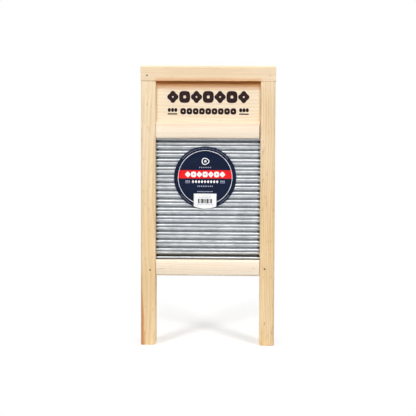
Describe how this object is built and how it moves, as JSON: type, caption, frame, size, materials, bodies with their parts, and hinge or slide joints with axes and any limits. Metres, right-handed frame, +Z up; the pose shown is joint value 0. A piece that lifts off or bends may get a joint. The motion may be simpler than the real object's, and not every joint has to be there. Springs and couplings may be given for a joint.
{
  "type": "washboard",
  "caption": "Pail-size household washboard: a grooved wooden frame on legs holding a ribbed galvanised rubbing sheet, a header panel, a soap ledge and a round paper label.",
  "frame": {"origin": "on the floor, midway between the two feet and midway through the frame's depth", "axes": "+X across the board towards the right post as seen from the front, +Y towards the back, +Z up; the ribbed face looks along -Y"},
  "size_m": [0.2194, 0.0286, 0.457],
  "materials": {
    "frame_pine": "bare planed pine, matt",
    "pale_pine": "bare planed sapwood, matt",
    "panel_wood": null,
    "galvanised_sheet": "zinc coated, satin, ribbed",
    "label_paper": null,
    "brad_wire": "dulled bare wire"
  },
  "bodies": {
    "root": {"left_post": "frame_pine", "right_post": "frame_pine", "top_rail": "frame_pine", "soap_ledge": "pale_pine", "bottom_rail": "pale_pine", "header_panel": "panel_wood", "rubbing_sheet": "galvanised_sheet", "back_slat_lower": "panel_wood", "back_slat_middle": "panel_wood", "back_slat_upper": "panel_wood", "round_label": "label_paper", "brad_top_left": "brad_wire", "brad_top_right": "brad_wire", "brad_bottom_left": "brad_wire", "brad_bottom_right": "brad_wire"}
  },
  "joints": []
}
